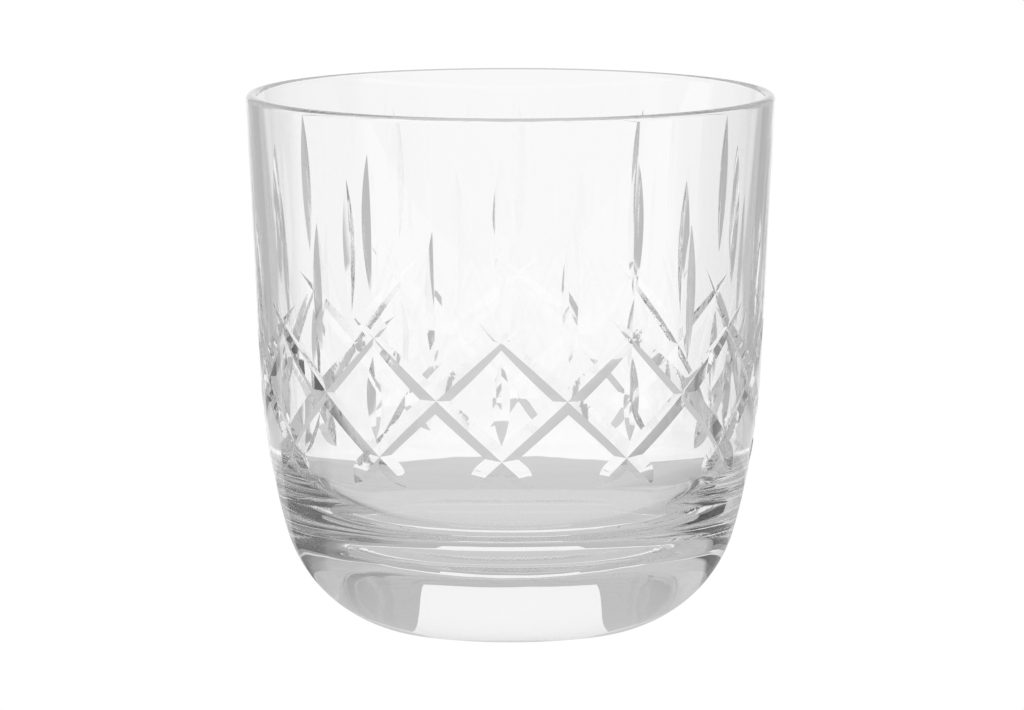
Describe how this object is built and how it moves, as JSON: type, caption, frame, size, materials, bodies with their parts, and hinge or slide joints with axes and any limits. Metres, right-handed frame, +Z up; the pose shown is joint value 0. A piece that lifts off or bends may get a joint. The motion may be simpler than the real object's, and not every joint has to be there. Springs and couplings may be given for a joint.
{
  "type": "whisky tumbler",
  "caption": "Squat cut-crystal drinking tumbler with a thick solid base, a diamond net of V grooves and upright lens-shaped flutes round the wall.",
  "frame": {"origin": "centre of the flat base, on the surface that the tumbler stands on", "axes": "+Z up along the tumbler's axis; -Y is the side with a lowest crossing of the cut net, turned 2 degrees off it"},
  "size_m": [0.091, 0.091, 0.0918],
  "materials": {
    "crystal": "polished"
  },
  "bodies": {
    "root": {"sham_base": "crystal", "cut_wall": "crystal", "rim_lip": "crystal"}
  },
  "joints": []
}
